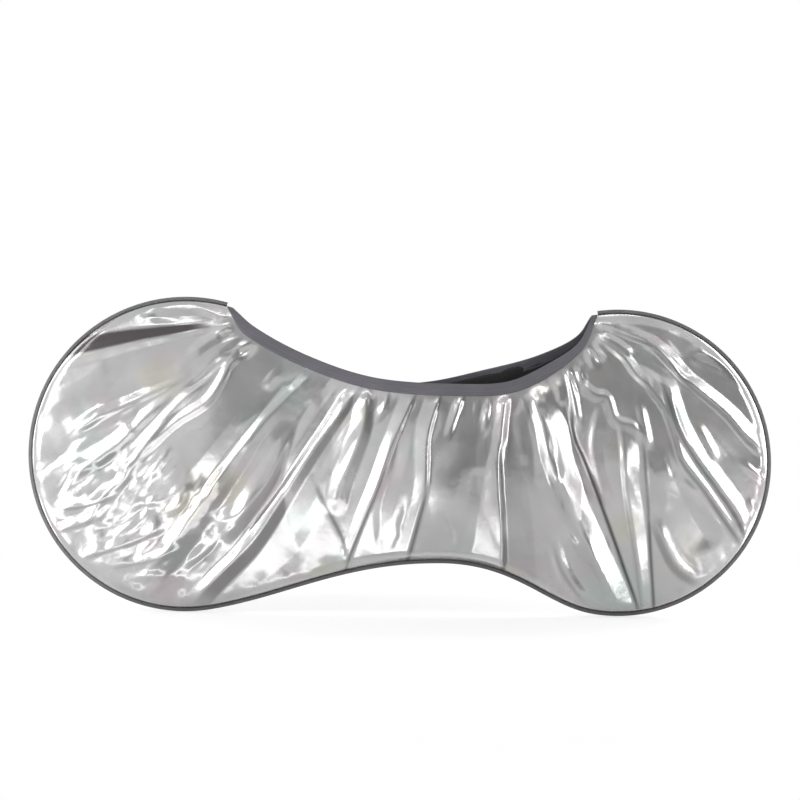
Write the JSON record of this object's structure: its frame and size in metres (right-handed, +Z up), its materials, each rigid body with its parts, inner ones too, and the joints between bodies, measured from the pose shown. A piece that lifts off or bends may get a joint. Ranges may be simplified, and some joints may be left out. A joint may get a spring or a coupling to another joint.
{
  "type": "bicycle wheel cover",
  "caption": "Hollow cloth cover that goes up over both wheels and the lower half of a standing bicycle, with an elastic mouth.",
  "frame": {"origin": "on the ground, under the middle of the cover's box, in the middle plane of the bicycle", "axes": "+X towards the rear wheel, -Y towards the bicycle's left-hand side, +Z up"},
  "size_m": [1.6588, 0.1947, 0.7022],
  "materials": {
    "silver_cloth": "shiny silver coated cloth, finely creased, black inside",
    "band": "matt slate grey woven elastic",
    "binding": "dark grey binding tape with a slight sheen"
  },
  "bodies": {
    "root": {"near_panel": "silver_cloth", "far_panel": "silver_cloth", "opening_band": "band", "edge_binding": "binding"}
  },
  "joints": []
}
